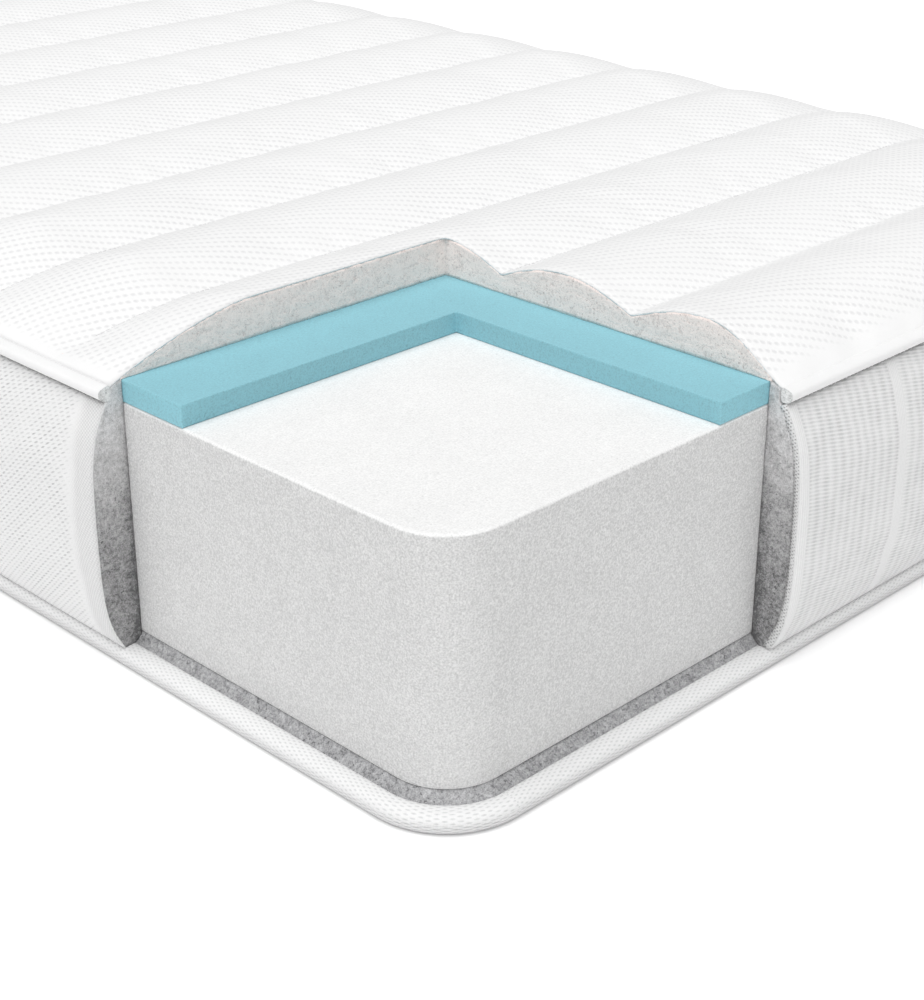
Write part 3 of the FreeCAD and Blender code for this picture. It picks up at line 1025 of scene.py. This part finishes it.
def base_knit_finish():
    """The lip's white knit: faint small dots, and on its lower half rows of short dashes. The lower half is
    also painted a little darker as painted shade, and the foot, 22 to 27 mm along the lip, is painted dark as
    a painted contact shadow.
    """
    finish = Finish("base_knit_cloth", 0.9, sheen=0.2)
    u, v, _ = finish.place("UV")
    across, along = lattice(u, v, *staggered(3.2 * MM, 2.9 * MM))
    dots = oval(across, along, 0.34, 0.34)
    low_rows = v.span(15 * MM, 20 * MM)
    dash_across, dash_along = lattice(u, v, *staggered(4.0 * MM, 2.3 * MM))
    dashes = oval(dash_across + dash_along, dash_along - dash_across, 0.5, 0.75)
    fuzz = finish.noise(1.1 * MM, 2) - 0.5
    # Painted contact shadow: from 22 to 27 mm along the lip the knit takes its darkest colour, standing in
    # for the shadow where the lip meets the floor. On the underside v is y, so the half beyond y = 27 mm
    # takes it too.
    painted_contact_shadow = v.span(22 * MM, 27 * MM)
    # Over the low rows, the 0.15 beneath the dashes is painted shade darkening the lip's lower half; the
    # dashes themselves are the knit's pattern.
    marks = dots * (1.0 - low_rows) * 0.4 + (dashes * 0.6 + 0.15) * low_rows * (1.0 - painted_contact_shadow) + painted_contact_shadow
    finish.colour(1.0 - marks + fuzz * 0.4, *BASE_KNIT)
    finish.relief(fuzz * 0.2 - marks, 0.4 * MM)
    return finish.material


def smooth_cloth_finish():
    """The rolled edge's plain cloth: a very fine, soft weave."""
    finish = Finish("edge_cloth_plain", 0.85, sheen=0.2)
    threads = finish.noise(0.8 * MM, 2)
    soft = finish.noise(14 * MM, 2)
    finish.colour(threads * 0.4 + soft * 0.6, *SMOOTH_CLOTH)
    finish.relief(threads, 0.15 * MM)
    return finish.material


def thread_finish(name, colours):
    """Twisted sewing thread."""
    finish = Finish(name, 0.7, sheen=0.1)
    x, y, z = finish.place("Object")
    twist = ridges(x + y + z * 1.3, 0.9 * MM)
    finish.colour(twist * 0.7 + finish.noise(5 * MM) * 0.3, *colours)
    finish.relief(twist, 0.1 * MM)
    return finish.material


# ------------------------------------------------------------------------------------------ the assembly


def finish_piece(piece, nodes, materials):
    """Gives a piece its materials and its body, and has it stand for its CAD nodes."""
    for material in materials:
        piece.data.materials.append(material)
    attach(piece, "root")
    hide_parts(*nodes)
    return piece


def make_foam():
    # Painted shade on the foams' upright faces: the white foam's sides are painted darker, the blue foam's
    # sides lighter.
    white = foam_finish("white_foam", WHITE_FOAM, 0.48)
    blue = foam_finish("blue_foam", BLUE_FOAM, -0.15)
    base = finish_piece(make_base_foam(), ["base_foam_core"], [white])
    memory = finish_piece(make_memory_foam(), ["memory_foam_layer"], [blue])


def make_side_panels(cloth_edge):
    # Graded border felt: painted paler towards its head and painted darker near the core.
    felt = felt_finish("border_felt_grey", BORDER_FELT, 0.27, 0.72, painted_grading=True)
    spacer_edge = spacer_edge_finish()
    for name, (start, end) in PANEL_RUNS.items():
        beside_cut = name in ("front", "left")
        if name in END_PANELS:
            slot, edge = "end_knit", spacer_edge
            knit = end_knit_finish(f"end_knit_{name}", beside_cut)
        else:
            slot, edge = "long_side_knit", cloth_edge
            knit = long_side_knit_finish(f"long_side_knit_{name}", beside_cut)
        padding = finish_piece(make_border_felt(name), [f"border_wadding_{name}"], [felt])
        cloth = finish_piece(make_border_ticking(name), [f"border_ticking_{name}"], [knit, edge])
        height = float(lengths_along(panel_section())[-1])
        float(end - start)


def make_top(cloth_edge):
    felt = felt_finish("quilt_felt_light", QUILT_FELT, 0.98, 1.35)
    padding = finish_piece(make_top_felt(), ["top_wadding"], [felt])
    cloth = finish_piece(make_top_ticking(), ["top_ticking"], [top_knit_finish(), cloth_edge])


def make_base_panel(cloth_edge):
    felt = felt_finish("base_felt_grey", BASE_FELT, 0.5, 1.0)
    padding = finish_piece(make_base_felt(), ["bottom_wadding"], [felt])
    knits = [base_knit_finish(), cloth_edge]
    cloth = finish_piece(make_base_ticking(), ["bottom_ticking"], knits)


def make_seams():
    filling = felt_finish("roll_filling", ROLL_FELT, 0.6, 1.0)
    roll = finish_piece(make_roll(), ["top_edge_roll"], [smooth_cloth_finish(), filling])
    grey = thread_finish("grey_thread", GREY_THREAD)
    white = thread_finish("white_thread", WHITE_THREAD)
    top = make_seam_stitches("top_seam_stitches", TOP_SEAM)
    finish_piece(top, ["top_seam_thread"], [grey])
    bottom = make_seam_stitches("bottom_seam_stitches", BOTTOM_SEAM)
    finish_piece(bottom, ["bottom_seam_thread"], [white])
    joins = {
        "front_right": knots[1] - JOIN_WIDTH / 2,
        "back_right": knots[4] + JOIN_WIDTH / 2,
        "back_left": knots[5] - JOIN_WIDTH / 2,
    }
    for name, along in joins.items():
        stitches = make_join_stitches(f"join_stitches_{name}", along)
        finish_piece(stitches, [f"border_join_{name}"], [white])
    for node, y in zip(seam_nodes, seam_ys):
        finish_piece(make_quilt_stitches(node, y), [node], [white])


def make_floor():
    """A plain pale floor that stays bright close to the mattress."""
    corners = [(x * FLOOR_REACH, y * FLOOR_REACH, 0) for x, y in ((-1, -1), (1, -1), (1, 1), (-1, 1))]
    floor = new_piece("floor", corners, [(0, 1, 2, 3)])
    finish = Finish("pale_floor", 1.0)
    finish.shader.inputs["Base Color"].default_value = PALE_FLOOR
    finish.shader.inputs["Specular IOR Level"].default_value = 0.0
    finish.shader.inputs["Emission Color"].default_value = (1, 1, 1, 1)
    finish.shader.inputs["Emission Strength"].default_value = FLOOR_GLOW
    floor.data.materials.append(finish.material)


def soft_sun(name, source, strength):
    """A wide, even light that comes from a direction, as from a large softbox far away."""
    data = bpy.data.lights.new(name, "SUN")
    data.angle = LIGHT_SPREAD
    data.energy = strength
    light = bpy.data.objects.new(name, data)
    light.rotation_euler = Vector(source).to_track_quat("Z", "Y").to_euler()
    bpy.context.collection.objects.link(light)


def make_light():
    world = bpy.data.worlds.new("studio")
    world.use_nodes = True
    world.node_tree.nodes["Background"].inputs["Color"].default_value = (1, 1, 1, 1)
    world.node_tree.nodes["Background"].inputs["Strength"].default_value = SKY
    bpy.context.scene.world = world
    soft_sun("top_light", TOP_LIGHT_FROM, TOP_LIGHT)
    soft_sun("front_light", FRONT_LIGHT_FROM, FRONT_LIGHT)
    bpy.context.scene.view_settings.view_transform = "Standard"


def make_camera():
    data = bpy.data.cameras.new("camera")
    data.lens = CAMERA_LENS
    data.sensor_width = SENSOR_WIDTH
    camera = bpy.data.objects.new("camera", data)
    camera.location = CAMERA_PLACE
    camera.rotation_euler = CAMERA_TURN
    bpy.context.collection.objects.link(camera)
    bpy.context.scene.camera = camera


thin_edge = cloth_edge_finish()
make_camera()
make_light()
make_floor()
make_foam()
make_side_panels(thin_edge)
make_top(thin_edge)
make_base_panel(thin_edge)
make_seams()
